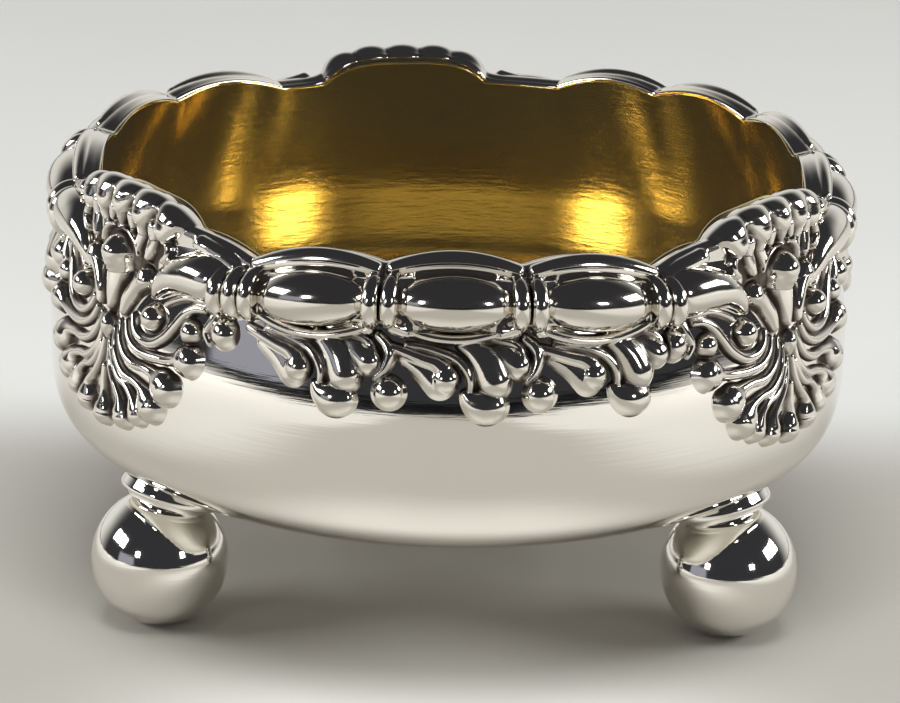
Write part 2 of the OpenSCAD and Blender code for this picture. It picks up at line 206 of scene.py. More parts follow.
soft_box("soft_box_left", (-0.873, -0.155, 0.395), lamp_away, 0.22, 0.11, 0.85)
soft_box("soft_box_right", (0.872, -0.061, 0.389), lamp_away, 0.22, 0.11, 0.85)
soft_box("soft_box_above", (0.0, -0.3, 1.0), 2 * lamp_away, 0.5, 0.5, 5.6, seen=False)
soft_box("small_lamp_left", (-0.59, -0.755, 0.285), lamp_away, 0.06, 0.06, 0.12)
soft_box("small_lamp_right", (0.60, -0.74, 0.287), lamp_away, 0.06, 0.06, 0.12)


# The camera, where the photograph was taken from: 18.6 degrees above the table and a little to
# the left of the front, leaning slightly.
cam_distance, cam_aim_z, cam_focal_px = 0.400, 0.020, 4520
photo_wide_px, sensor_wide = 900, 36
cam_up, cam_side, cam_roll, cam_pan, cam_tilt = (
    math.radians(v) for v in (18.58, -0.88, -1.55, 0.031, -0.037))
aim = Vector((0, 0, cam_aim_z))
spot = aim + cam_distance * Vector((math.cos(cam_up) * math.sin(cam_side),
                                    -math.cos(cam_up) * math.cos(cam_side), math.sin(cam_up)))
back = (spot - aim).normalized()
right = Vector((0, 0, 1)).cross(back).normalized()
level = Matrix((right, back.cross(right), back))
turn = (Matrix.Rotation(cam_roll, 3, "Z") @ Matrix.Rotation(cam_tilt, 3, "X")
        @ Matrix.Rotation(cam_pan, 3, "Y"))
camera_data = bpy.data.cameras.new("camera")
camera_data.sensor_width = sensor_wide
camera_data.lens = cam_focal_px / photo_wide_px * sensor_wide
camera = bpy.data.objects.new("camera", camera_data)
camera.matrix_world = Matrix.Translation(spot) @ (turn @ level).transposed().to_4x4()
scene.collection.objects.link(camera)
scene.camera = camera


# The bowl: one disc of silver raised with hammers, flat-bellied, curving in again to a scalloped
# rim. Planished and polished outside, so its mirror is very slightly uneven.
bowl_r, bowl_bottom_z, belly_z, wall_t = 34.9, 9.66, 24.46, 1.0
neck_r, rim_z, rim_crown, scallop_rise = 32.0, 36.66, 1.2, 1.05
corner_share, lean_share = 0.41, 1.6
bead_counts = (3, 4, 3)
bead_pitches = (20.4, 20.4, 23.4)
run_az = (0.0, 120.4, -114.7)
run_edges = ((-30.6, -10.4, 10.0, 30.6), (79.6, 98.4, 119.2, 142.2, 161.2),
             (-149.8, -125.2, -101.4, -79.6))
shell_az = (54.4, 188.0, -55.8)
shell_ends = ((-23.8, 25.2), (-26.8, 22.1), (-23.8, 25.2))
shell_lower = (0.0, 0.95, 0.0)
fan_half, fan_top_z, fan_droop = 13.5, 39.6, 1.7
arm_bow, arm_bow_less, arm_root, arm_root_less = 0.75, 0.8, 1.3, 1.4
column_step, rim_drop, inner_lap = 0.75, 0.35, 0.02
uneven_by, calm_z, calm_height = 0.006, 12, 4


def curve_in(z, r):
    """Radius of the wall above the belly."""
    share = np.clip((z - belly_z) / (rim_z - belly_z), 0, 1.4)
    return r - (bowl_r - neck_r) * share ** lean_share


belly_angles = np.radians(90 * np.linspace(0, 1, 70) ** 0.8)
belly_corner = np.cos(belly_angles).clip(0) ** corner_share
belly = np.stack([bowl_r * np.sin(belly_angles),
                  belly_z - (belly_z - bowl_bottom_z) * belly_corner], 1)


def wall_r(z):
    """Outer radius of the bowl at a height."""
    z = np.asarray(z, float)
    return np.where(z < belly_z, np.interp(z, belly[:, 1], belly[:, 0]), curve_in(z, bowl_r))


def soften(values, width):
    """Running mean round a closed ring of values."""
    pad = np.concatenate([values[-width:], values, values[:width]])
    total = np.cumsum(np.concatenate([[0.0], pad]))
    size = 2 * width + 1
    return ((total[size:] - total[:-size]) / size)[:len(values)]


def rim_ring():
    """Height of the rim's inner edge all round, in tenths of a degree."""
    az = np.arange(-1800, 1800) / 10.0
    height = np.full(az.shape, rim_z)
    for edges in run_edges:
        n = len(edges) - 1
        for k in range(n):
            t = ((az - edges[k] + 1) % 360 - 1) / (edges[k + 1] - edges[k])
            low = [rim_z + rim_crown * (1 - (2 * j / n - 1) ** 2) for j in (k, k + 1)]
            arch = low[0] + (low[1] - low[0]) * t + scallop_rise * (1 - (2 * t - 1) ** 2)
            height = np.where((t >= 0) & (t <= 1), arch, height)
    for middle, ends, lower in zip(shell_az, shell_ends, shell_lower):
        away = (az - middle + 180) % 360 - 180
        end = np.where(away > 0, ends[1], -ends[0])
        away = np.abs(away)
        arm = (away - fan_half) / (end - fan_half)
        bow = (arm_bow - arm_bow_less * lower) * np.sin(np.pi * arm.clip(0, 1)) ** 0.8
        root = (arm_root - arm_root_less * lower) * (1 - arm).clip(0) ** 2
        height = np.where((arm > 0) & (arm <= 1), rim_z + bow + root, height)
        fan = fan_top_z - lower - fan_droop * (away / fan_half) ** 4
        height = np.where(away <= fan_half, fan, height)
    return soften(soften(height, 4), 3)


rim_table = rim_ring()


def rim_at(az):
    """Height of the rim's inner edge at an azimuth in degrees."""
    turned_by = (np.asarray(az, float) + 180) % 360
    return np.interp(turned_by, np.arange(3600) / 10.0, rim_table, period=360)


def ring_mesh(name, radii, heights, azimuths):
    """Mesh of rings: radii and heights are rows by columns, and the columns close round."""
    rows, cols = radii.shape
    a = np.radians(azimuths)
    points = np.stack([radii * np.sin(a), -radii * np.cos(a), heights], -1).reshape(-1, 3) * MM
    j, i = np.mgrid[0:rows - 1, 0:cols]
    k = (i + 1) % cols
    faces = np.stack([j * cols + i, j * cols + k, (j + 1) * cols + k, (j + 1) * cols + i], -1)
    mesh = bpy.data.meshes.new(name)
    mesh.from_pydata(points.tolist(), [], faces.reshape(-1, 4).tolist())
    bm = bmesh.new()
    bm.from_mesh(mesh)
    bmesh.ops.remove_doubles(bm, verts=bm.verts, dist=1e-7)
    bmesh.ops.recalc_face_normals(bm, faces=bm.faces)
    bm.to_mesh(mesh)
    bm.free()
    mesh.shade_smooth()
    return mesh


def put(name, mesh, finish, slot, *nodes):
    """A finished piece: its object at the origin, riding on the body, in place of its CAD nodes."""
    piece = bpy.data.objects.new(name, mesh)
    scene.collection.objects.link(piece)
    mesh.materials.clear()
    mesh.materials.append(finish)
    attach(piece, "root")
    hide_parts(*nodes)


def section_rows(t, lean_rows, drop, columns):
    """Rows of the bowl's section at a depth t in its wall, up to the rim less a drop."""
    low = np.stack([(bowl_r - t) * np.sin(belly_angles),
                    belly_z - (belly_z - bowl_bottom_z - t) * belly_corner], 1)
    radii = np.repeat(low[:, :1], len(columns), 1)
    heights = np.repeat(low[:, 1:], len(columns), 1)
    top = rim_at(columns) - drop
    share = (np.arange(1, lean_rows + 1) / lean_rows)[:, None]
    up = belly_z + (top - belly_z)[None, :] * share
    return np.concatenate([radii, curve_in(up, bowl_r) - t]), np.concatenate([heights, up])


columns = np.arange(0, 360, column_step)
out_r, out_z = section_rows(0, 26, rim_drop, columns)
in_r, in_z = section_rows(wall_t - inner_lap, 8, rim_drop, columns)
phase = np.radians(columns)[None, :]
uneven = (np.sin(3 * phase + 0.4 * out_z) + np.sin(7 * phase - 0.7 * out_z + 1.3)
          + 0.7 * np.sin(13 * phase + 1.1 * out_z + 4.0)) * uneven_by
calm = np.clip((out_z - calm_z) / calm_height, 0, 1)
bowl_mesh = ring_mesh("bowl", np.concatenate([out_r + uneven * calm, in_r[::-1]]),
                      np.concatenate([out_z, in_z[::-1]]), columns)

silver_tone, cast_tone = (0.88, 0.855, 0.80, 1), (0.76, 0.725, 0.665, 1)
warm_tone, tarnish_tone = (0.84, 0.80, 0.73, 1), (0.10, 0.082, 0.068, 1)
silver_rough, cast_rough = 0.045, 0.085


def silver(name, recesses):
    """Polished silver, with hairline scratches, and tarnish in the recesses of castings."""
    finish, sheet = new_finish(name)
    place = sheet.add("ShaderNodeTexCoord").out("Object")
    cloud = sheet.noise(place, 90.0, 5.0)
    wipe = sheet.add("ShaderNodeMapping", None, {"Vector": place, "Scale": (40.0, 40.0, 900.0)})
    hairlines = sheet.noise(wipe, 4.0, 3.0)
    rough = (cast_rough if recesses else silver_rough) + 0.03 * cloud
    tone = sheet.blend(cloud * 0.25, cast_tone if recesses else silver_tone, warm_tone)
    if recesses:
        depth = sheet.add("ShaderNodeAttribute", {"attribute_name": "recess"}).out("Fac")
        specks = (sheet.noise(place, 1400.0, 3.0) - 0.5) * 0.2
        dirt = sheet.ramp(depth + specks, 0.12, 0.8, "LINEAR")
        tone = sheet.blend(dirt, tone, tarnish_tone)
        rough = rough + 0.3 * dirt
    bump = sheet.add("ShaderNodeBump", None,
                     {"Height": hairlines, "Strength": 0.03, "Distance": 0.0002})
    metal = sheet.add("ShaderNodeBsdfPrincipled", None,
                      {"Base Color": tone, "Metallic": 1.0, "Roughness": rough, "Normal": bump})
    sheet.add("ShaderNodeOutputMaterial", None, {"Surface": metal})
    return finish


plain_silver = silver("polished_silver", False)
put("bowl_sheet", bowl_mesh, plain_silver, "silver", "bowl")


# The gilding inside: a thin layer of gold over the whole inner face, rubbed round and round until
# it is finely scratched. Behind each bead the wall is pressed out a little.
gilt_t, gilt_lap, gilt_over_rim = 0.15, 0.01, 0.06
flute_depth, flute_level, shell_flute, shell_flute_half = 0.28, 0.6, 0.9, 24.0
press_z, press_height = 23, 12
gilt_tone, gilt_shade, scratch_tone = (
    (0.90, 0.74, 0.35, 1), (0.82, 0.68, 0.33, 1), (0.50, 0.38, 0.18, 1))
haze_tone, haze_share = (0.30, 0.27, 0.22, 1), 0.06

flute = np.zeros(columns.shape)
for n, pitch, middle in zip(bead_counts, bead_pitches, run_az):
    away = (columns - middle + n * pitch / 2) % 360
    along = (away % pitch) / pitch * 2 - 1
    flute = np.where(away < n * pitch, 1 - along ** 2, flute)
for middle in shell_az:
    away = ((columns - middle + 180) % 360 - 180) / shell_flute_half
    flute = np.where(np.abs(away) < 1, shell_flute * (1 - away ** 4), flute)
press = (soften(flute, 2) - flute_level)[None, :] * flute_depth


def pressed_rows(t, lean_rows):
    """Rows of the gilding's section at a depth t, pressed out behind the beads."""
    radii, heights = section_rows(t, lean_rows, -gilt_over_rim, columns)
    share = np.clip((heights - press_z) / press_height, 0, 1) ** 1.5
    return radii + press * share, heights


gilt_r, gilt_z = pressed_rows(wall_t + gilt_t, 50)
skin_r, skin_z = pressed_rows(wall_t + gilt_lap, 8)
gilt_mesh = ring_mesh("gilt", np.concatenate([skin_r, gilt_r[::-1]]),
                      np.concatenate([skin_z, gilt_z[::-1]]), columns)

gilt_finish, sheet = new_finish("brushed_gilt")
place = sheet.add("ShaderNodeTexCoord").out("Object")
xyz = sheet.add("ShaderNodeSeparateXYZ", None, {"Vector": place})
turn_angle = sheet.maths("ARCTAN2", xyz.out("X"), xyz.out("Y"))
brush_place = sheet.add("ShaderNodeCombineXYZ", None,
                        {"X": turn_angle * 3.0, "Z": xyz.out("Z") * 500.0})
brush = sheet.add("ShaderNodeTexNoise", None,
                  {"Vector": brush_place, "Scale": 4.0, "Detail": 3.0, "Roughness": 0.6})
cloud = sheet.noise(place, 160.0, 3.0)
tone = sheet.blend(cloud, gilt_tone, gilt_shade)
tone = sheet.blend(sheet.ramp(brush, 0.5, 0.75, "LINEAR") * 0.35, tone, scratch_tone)
bump = sheet.add("ShaderNodeBump", None, {"Height": brush, "Strength": 0.35, "Distance": 0.00006})
gold = sheet.add("ShaderNodeBsdfPrincipled", None, {
    "Base Color": tone, "Metallic": 1.0, "Roughness": 0.11 + 0.08 * cloud, "Normal": bump})
haze = sheet.add("ShaderNodeBsdfDiffuse", None, {"Color": haze_tone})
hazy = sheet.add("ShaderNodeMixShader", None, {"0": haze_share, "1": gold, "2": haze})
sheet.add("ShaderNodeOutputMaterial", None, {"Surface": hazy})
put("gilt_layer", gilt_mesh, gilt_finish, "gilt", "gilt_lining")


# The bead borders: strips of cast silver, bead and reel over running scrolls, cut to length and
# soldered round the wall under the scalloped edge. The scrolls are carved as one relief.
ground, casting_t, stroke_blend = -0.16, 0.35, 0.14
slope_from, slope_height, slope_fall = 0.88, 0.475, 1.853
groove_cells, groove_dark, back_kept = 7, 0.5, 0.54


def smooth_line(points, steps=7):
    """Points of a stroke with rounder bends between the ones that are given."""
    p = np.array(points, float)
    if len(p) < 3:
        return p
    ends = np.concatenate([[2 * p[0] - p[1]], p, [2 * p[-1] - p[-2]]])
    t = (np.arange(steps) / steps)[:, None]
    parts = [0.5 * (2 * b + (c - a) * t + (2 * a - 5 * b + 4 * c - d) * t ** 2
                    + (3 * b - a - 3 * c + d) * t ** 3)
             for a, b, c, d in zip(ends, ends[1:], ends[2:], ends[3:])]
    return np.concatenate(parts + [p[-1:]])


def carve(s, y, strokes):
    """Height of a relief at places s along the wall and y up it. A stroke is a round-backed ridge
    through points (s, y, half width, height); one point makes a ball."""
    relief = np.full(y.shape, ground)
    for stroke in strokes:
        line = smooth_line(stroke)
        if len(line) == 1:
            line = np.concatenate([line, line + [1e-4, 0, 0, 0]])
        one = np.full(y.shape, ground)
        for p, q in zip(line[:-1], line[1:]):
            reach = max(p[2], q[2]) * 1.5
            first, last = np.searchsorted(s, (min(p[0], q[0]) - reach, max(p[0], q[0]) + reach))
            if last <= first:
                continue
            d = q[:2] - p[:2]
            ds, dy = s[None, first:last] - p[0], y[:, first:last] - p[1]
            t = np.clip((ds * d[0] + dy * d[1]) / max(d @ d, 1e-12), 0, 1)
            half, tall = p[2] + t * (q[2] - p[2]), p[3] + t * (q[3] - p[3])
            share = np.hypot(ds - t * d[0], dy - t * d[1]) / half
            round_back = np.sqrt(np.clip(1 - share ** 2, 0.01, None))
            slope = slope_height - slope_fall * (share - slope_from)
            back = tall * np.where(share < slope_from, round_back, slope)
            one[:, first:last] = np.maximum(one[:, first:last], back)
        near = np.clip(stroke_blend - np.abs(relief - one), 0, None) ** 2 / (4 * stroke_blend)
        relief = np.maximum(relief, one) + np.where((relief > ground) & (one > ground), near, 0)
    return relief


def box_mean(values, width):
    """Mean over a square of 2 * width + 1 cells."""
    for axis in (0, 1):
        v = np.moveaxis(values, axis, 0)
        pad = np.concatenate([np.repeat(v[:1], width, 0), v, np.repeat(v[-1:], width, 0)])
        total = np.cumsum(np.concatenate([np.zeros((1,) + pad.shape[1:]), pad]), 0)
        v = (total[2 * width + 1:] - total[:-(2 * width + 1)]) / (2 * width + 1)
        values = np.moveaxis(v, 0, axis)
    return values


def spread(values, width, pick):
    """The greatest or the least value, as pick says, in a square of 2 * width + 1 cells."""
    for axis in (0, 1):
        v = np.moveaxis(values, axis, 0)
        pad = np.concatenate([np.repeat(v[:1], width, 0), v, np.repeat(v[-1:], width, 0)])
        shifted = [pad[k:k + len(v)] for k in range(2 * width + 1)]
        values = np.moveaxis(pick.reduce(shifted), 0, axis)
    return values


def casting_mesh(name, middle, angles, base_r, base_z, relief):
    """Closed casting: the base surface pushed out by its relief, and a back in the wall."""
    a = np.radians(angles)[None, :] + np.zeros(base_r.shape)
    base = np.stack([base_r * np.sin(a), -base_r * np.cos(a), base_z], -1)
    up = np.gradient(base, axis=0)
    across = np.gradient(base, axis=1)
    out = np.cross(across, up)
    out /= np.linalg.norm(out, axis=-1, keepdims=True)
    front = base + out * relief[..., None]
    rear = base - out * casting_t
    shown = relief > ground + 0.01
    shallow = relief.clip(0)
    filled = spread(spread(shallow, groove_cells, np.maximum), groove_cells, np.minimum)
    recess = box_mean(np.clip((filled - shallow) / groove_dark, 0, 1), 1)
    rows, cols = relief.shape
    size = rows * cols
    keep = shown[:-1, :-1] | shown[1:, :-1] | shown[:-1, 1:] | shown[1:, 1:]
    j, i = np.nonzero(keep)
    low, high = j * cols + i, (j + 1) * cols + i
    quad = np.stack([low, low + 1, high + 1, high], 1)
    edges = np.concatenate([quad[:, [k, (k + 1) % 4]] for k in range(4)])
    known = set(map(tuple, edges.tolist()))
    rim = np.array([e for e in known if (e[1], e[0]) not in known])
    walls = np.stack([rim[:, 1], rim[:, 0], rim[:, 0] + size, rim[:, 1] + size], 1)
    faces = np.concatenate([quad, quad[:, ::-1] + size, walls])
    points = np.concatenate([front.reshape(-1, 3), rear.reshape(-1, 3)])
    used, places = np.unique(faces, return_inverse=True)
    cos, sin = math.cos(math.radians(middle)), math.sin(math.radians(middle))
    points = points[used] @ np.array([[cos, sin, 0], [-sin, cos, 0], [0, 0, 1]])
    mesh = bpy.data.meshes.new(name)
    mesh.from_pydata((points * MM).tolist(), [], places.reshape(faces.shape).tolist())
    marks = np.concatenate([recess.reshape(-1), np.ones(size)])[used].clip(0, 1)
    mark = mesh.attributes.new("recess", "FLOAT", "POINT")
    mark.data.foreach_set("value", marks.astype(np.float32))
    mesh.shade_smooth()
    return thinned(mesh, np.nonzero(used >= size)[0])


def thinned(mesh, hidden):
    """The mesh with fewer faces at its hidden points: a casting's back, which lies in the wall."""
    holder = bpy.data.objects.new("casting_in_making", mesh)
    scene.collection.objects.link(holder)
    holder.vertex_groups.new(name="back").add(hidden.tolist(), 1.0, "REPLACE")
    thinner = holder.modifiers.new("thin", "DECIMATE")
    thinner.ratio, thinner.vertex_group = back_kept, "back"
    ready = holder.evaluated_get(bpy.context.evaluated_depsgraph_get())
    thin = bpy.data.meshes.new_from_object(ready)
    bpy.data.objects.remove(holder)
    return thin


drawn_pitch = 12.43


def repeat_strokes(start, pitch, first):
    """The running scroll under one bead, from its reel pair on."""
    k = pitch / drawn_pitch
    strokes = [
        [(2.4, 30.95, 0.8, 0.35), (4.0, 30.1, 1.1, 0.45), (5.1, 29.0, 1.2, 0.6)],
        [(0.7, 31.8, 0.42, 0.45), (2.2, 31.35, 0.5, 0.6), (3.64, 30.9, 0.6, 0.7),
         (4.7, 30.6, 0.7, 0.8), (5.4, 30.15, 0.8, 0.95)],
        [(5.6, 29.4, 1.15, 1.15)],
        [(2.3, 31.95, 0.3, 0.4), (3.8, 31.8, 0.36, 0.5), (5.05, 31.5, 0.42, 0.6),
         (6.2, 31.1, 0.45, 0.68), (6.95, 30.5, 0.45, 0.72), (7.45, 29.8, 0.44, 0.72),
         (7.62, 29.1, 0.4, 0.65), (7.6, 28.5, 0.34, 0.55)],
        [(6.9, 32.1, 0.6, 0.5), (8.0, 31.6, 1.0, 0.8), (9.0, 30.6, 1.35, 1.05),
         (9.55, 29.5, 1.45, 1.2), (9.6, 29.2, 1.4, 1.2)],
        [(7.2, 28.2, 0.45, 0.5), (7.9, 27.55, 0.95, 0.8), (8.8, 27.2, 1.4, 1.1),
         (9.4, 27.25, 1.3, 1.05)],
        [(8.1, 32.25, 0.28, 0.35), (9.3, 32.5, 0.34, 0.5), (10.25, 32.42, 0.38, 0.58),
         (11.1, 32.2, 0.4, 0.6), (11.65, 31.8, 0.4, 0.62), (11.93, 31.2, 0.44, 0.7)],
        [(9.6, 31.6, 0.8, 0.5), (10.6, 31.2, 1.0, 0.8), (11.3, 30.7, 1.15, 1.05),
         (11.5, 30.5, 1.15, 1.1)],
        [(-0.2, 32.5, 0.45, 0.5), (0.45, 31.95, 0.52, 0.65), (0.8, 31.3, 0.56, 0.75),
         (0.75, 30.6, 0.54, 0.75), (0.4, 29.8, 0.48, 0.7), (-0.1, 29.25, 0.38, 0.55)],
        [(0.95, 28.1, 1.35, 1.25)],
    ]
    if first:
        strokes = strokes[:-2]
    return [[(start + p[0] * k,) + tuple(p[1:]) for p in stroke] for stroke in strokes]


seat_r, bead_mid_z, bead_crown, bead_len, bead_rad = 33.1, 35.44, 0.96, 9.6, 2.36
reel_rad, reel_wide, reel_apart = 2.35, 1.35, 1.47
back_r, back_z, back_lean = 31.95, 35.4, 0.345
wall_unit = math.pi / 180 * bowl_r
strip_low_z, strip_band_z, strip_grid, strip_edge_h, strip_over_rim = 25.3, 33.2, 0.095, 0.75, 0.45
strip_step_z, strip_step = (33.1, 33.7), (0, 0.75)
plate_z, edge_lap = 33.15, 0.12
strip_edge = smooth_line([(0, 0), (-0.1, 0.42), (-0.42, 0.7), (-0.85, 0.76), (-1.35, 0.64),
                          (-1.74, 0.52), (-1.78, 0.1)], 5)[1:]


def grid_rows(low, band, step, top, count):
    """Heights of a casting's grid: level rows on the wall, then count rows that rise to its top."""
    level = np.repeat(np.arange(low, band, step)[:, None], len(top), 1)
    share = np.linspace(0, 1, count + 1)[1:, None]
    return np.concatenate([level, band + (top - band)[None, :] * share])


def over_edge(radii, heights, top, inner, edge, step):
    """The grid carried on over the casting's top edge to the radius inside. The relief reads y,
    the places up the grid, in place of the heights."""
    last_r = radii[-1]
    scale = (last_r - inner) / -edge[-1, 0]
    y = np.concatenate([heights, heights[-1] + (np.arange(1, len(edge) + 1) * step)[:, None]])
    return (np.concatenate([radii, last_r + edge[:, :1] * scale]),
            np.concatenate([heights, top + edge[:, 1:]]), y)


def border_mesh(i):
    """One border's strip, with its scrolls and the swags above and below its beads."""
    n, pitch = bead_counts[i], bead_pitches[i]
    half = n * pitch / 2
    angles = np.linspace(-half, half, int(round(n * pitch * wall_unit / strip_grid)) + 1)
    s = angles * wall_unit
    rim = rim_at(angles + run_az[i]) + strip_over_rim
    top = rim - strip_edge_h
    heights = grid_rows(strip_low_z, strip_band_z, strip_grid, top, 25)
    radii = wall_r(heights) + np.interp(heights, strip_step_z, strip_step)
    inner = wall_r(rim) - wall_t + edge_lap
    radii, heights, y = over_edge(radii, heights, top, inner, strip_edge, 0.07)
    strokes = []
    turns, brow = np.linspace(-1.1, 1.1, 13), np.linspace(-1, 1, 11)
    for k in range(n):
        start = (k * pitch - half) * wall_unit
        strokes += repeat_strokes(start, pitch * wall_unit, k == 0)
        middle = start + pitch * wall_unit / 2
        wide = pitch * wall_unit * 0.385
        centre = bead_mid_z - bead_crown * ((2 * k + 1) / n - 1) ** 2
        low, high = centre - bead_rad - 0.6, centre + bead_rad + 0.35
        strokes.append([(middle + q * wide, low + q * q, 0.5, 0.85) for q in turns])
        strokes.append([(middle + q * wide, high - q * q, 0.26, 0.3) for q in turns[2:-2]])
        az = (k + 0.5) * pitch - half + run_az[i]
        strokes.append([(middle + t * wide * 1.14, rim_at(az + t * 0.41 * pitch) - 0.3,
                         0.8 - 0.25 * t * t, 0.75 - 0.3 * t * t) for t in brow])
    relief = carve(s, y, strokes)
    relief = np.where(y > plate_z, np.maximum(relief, 0.0), relief)
    return casting_mesh("border", run_az[i], angles, radii, heights, relief)


def bead_tree():
    """Beads and reel pairs along a straight line, then bent round the wall."""
    tree = bpy.data.node_groups.new("bead_and_reel", "GeometryNodeTree")
    sheet = Sheet(tree)
    sizes = {"Beads": 3, "Extra Reels": 0, "Pitch": 0.0118, "Bead Length": 0.0089,
             "Bead Radius": 0.0025, "Reel Radius": 0.00235, "Reel Width": 0.00115,
             "Reel Spacing": 0.00145, "Seat Radius": 0.0331, "Back Radius": 0.0318,
             "Middle Height": 0.0354, "Crown": 0.0004, "Azimuth": 0.0}
    for label, size in sizes.items():
        kind = "NodeSocketInt" if isinstance(size, int) else "NodeSocketFloat"
        tree.interface.new_socket(label, in_out="INPUT", socket_type=kind).default_value = size
    tree.interface.new_socket("Finish", in_out="INPUT", socket_type="NodeSocketMaterial")
    tree.interface.new_socket("Geometry", in_out="OUTPUT", socket_type="NodeSocketGeometry")
    given = sheet.add("NodeGroupInput")
    count, pitch, seat = given.out("Beads"), given.out("Pitch"), given.out("Seat Radius")
    half_reel, half_gap = given.out("Reel Width") * 0.5, given.out("Reel Spacing") * 0.5
    run = count * pitch

    def turned(length, radius_of):
        """A round form along X: the sphere's own height becomes the place along the axis."""
        ball = sheet.add("GeometryNodeMeshUVSphere", None,
                         {"Segments": 48, "Rings": 36, "Radius": 1.0})
        xyz = sheet.add("ShaderNodeSeparateXYZ", None,
                        {"Vector": sheet.add("GeometryNodeInputPosition")})
        along = xyz.out("Z")
        round_part = sheet.maths("MAXIMUM", 1 - along * along, 1e-9)
        waist = round_part ** 0.5
        radius = radius_of(round_part) * sheet.maths("GREATER_THAN", round_part, 1e-6)
        place = sheet.add("ShaderNodeCombineXYZ", None, {
            "X": along * length * 0.5, "Y": xyz.out("X") / waist * radius,
            "Z": xyz.out("Y") / waist * radius})
        return sheet.add("GeometryNodeSetPosition", None, {"Geometry": ball, "Position": place})

    def row(form, count, first, step):
        """A form set at places along the line."""
        line = sheet.add("GeometryNodeMeshLine", {"mode": "OFFSET"}, {
            "Count": count, "Start Location": sheet.add("ShaderNodeCombineXYZ", None, {"X": first}),
            "Offset": sheet.add("ShaderNodeCombineXYZ", None, {"X": step})})
        return sheet.add("GeometryNodeInstanceOnPoints", None, {"Points": line, "Instance": form})

    bead = turned(given.out("Bead Length"), lambda q: given.out("Bead Radius") * q ** 0.44)
    disc = turned(given.out("Reel Width"),
                  lambda q: given.out("Reel Radius") - half_reel + half_reel * q ** 0.5)
    joined = tree.nodes.new("GeometryNodeJoinGeometry")
    for part in (row(bead, count, (pitch - run) * 0.5, pitch),
                 row(disc, count + 1, run * -0.5 + half_gap, pitch),
                 row(disc, count + 1, run * -0.5 - half_gap, pitch),
                 row(disc, given.out("Extra Reels"), run * -0.5 - half_gap * 3, half_gap * 2)):
        tree.links.new(part.socket, joined.inputs[0])
    real = sheet.add("GeometryNodeRealizeInstances", None,
                     {"Geometry": Wire(sheet, joined.outputs[0])})
    xyz = sheet.add("ShaderNodeSeparateXYZ", None,
                    {"Vector": sheet.add("GeometryNodeInputPosition")})
    angle = xyz.out("X") / seat + given.out("Azimuth")
    reach = sheet.maths("MAXIMUM", seat - xyz.out("Y"),
                        given.out("Back Radius") - xyz.out("Z") * back_lean)
    share = xyz.out("X") / (run * 0.5)
    lift = given.out("Middle Height") - given.out("Crown") * share * share + xyz.out("Z")
    bent = sheet.add("ShaderNodeCombineXYZ", None, {
        "X": reach * sheet.maths("SINE", angle), "Y": reach * -1.0 * sheet.maths("COSINE", angle),
        "Z": lift})
    placed = sheet.add("GeometryNodeSetPosition", None, {"Geometry": real, "Position": bent})
    smooth = sheet.add("GeometryNodeSetShadeSmooth", None, {"Geometry": placed})
    dressed = sheet.add("GeometryNodeSetMaterial", None,
                        {"Geometry": smooth, "Material": given.out("Finish")})
    sheet.add("NodeGroupOutput", None, {"Geometry": dressed})
    return tree


cast_silver = silver("cast_silver", True)
bead_maker = bead_tree()


def beads_mesh(i):
    """The beads and reels of one border as a plain mesh."""
    n, pitch = bead_counts[i], bead_pitches[i]
    step = math.radians(pitch) * seat_r * MM
    holder = bpy.data.objects.new("beads_in_making", bpy.data.meshes.new("beads_in_making"))
    scene.collection.objects.link(holder)
    maker = holder.modifiers.new("beads", "NODES")
    maker.node_group = bead_maker
    wanted = {"Beads": n, "Extra Reels": int(i == 0), "Pitch": step,
              "Bead Length": bead_len * MM * pitch / bead_pitches[0],
              "Bead Radius": bead_rad * MM, "Reel Radius": reel_rad * MM,
              "Reel Width": reel_wide * MM, "Reel Spacing": reel_apart * MM,
              "Seat Radius": seat_r * MM, "Back Radius": back_r * MM,
              "Middle Height": bead_mid_z * MM, "Crown": bead_crown * MM,
              "Azimuth": math.radians(run_az[i]), "Finish": cast_silver}
    for item in bead_maker.interface.items_tree:
        if item.in_out == "INPUT":
            maker[item.identifier] = wanted[item.name]
    ready = holder.evaluated_get(bpy.context.evaluated_depsgraph_get())
    mesh = bpy.data.meshes.new_from_object(ready)
    bpy.data.objects.remove(holder)
    return mesh


def joined(name, *meshes):
    """One mesh of several closed forms."""
    bm = bmesh.new()
    for mesh in meshes:
        bm.from_mesh(mesh)
    whole = bpy.data.meshes.new(name)
    bm.to_mesh(whole)
    bm.free()
    whole.shade_smooth()
    return whole


for i, side in enumerate(("front", "right", "left")):
    node = "bead_border_" + side
    strip = joined(node, border_mesh(i), beads_mesh(i))
    put("beads_and_scrolls_" + side, strip, cast_silver, "silver", node)


# The shells: cast silver, each soldered over the gap between two borders. A fan of rolled lobes
# stands above the rim, a trefoil hides its root, and a fringe of ribs hangs down the wall.
arm_starts = ((-21.9, 23.3), (-24.9, 20.2), (-21.9, 20.8))
arm_bend, arm_drawn = 14, 22.5
shell_low_z, shell_band_z, shell_edge_h = 19.2, 33.5, 0.8
shell_grid, shell_row, shell_plate_z, wall_top_z = 0.09, 0.092, 33.4, 37
shell_edge = smooth_line([(0, 0), (-0.12, 0.45), (-0.5, 0.76), (-1.0, 0.8), (-1.6, 0.62),
                          (-2.05, 0.45), (-2.1, 0.0)], 6)[1:]


def mirrored(stroke):
    """The same stroke on the other side of the middle."""
    return [(-p[0],) + tuple(p[1:]) for p in stroke]


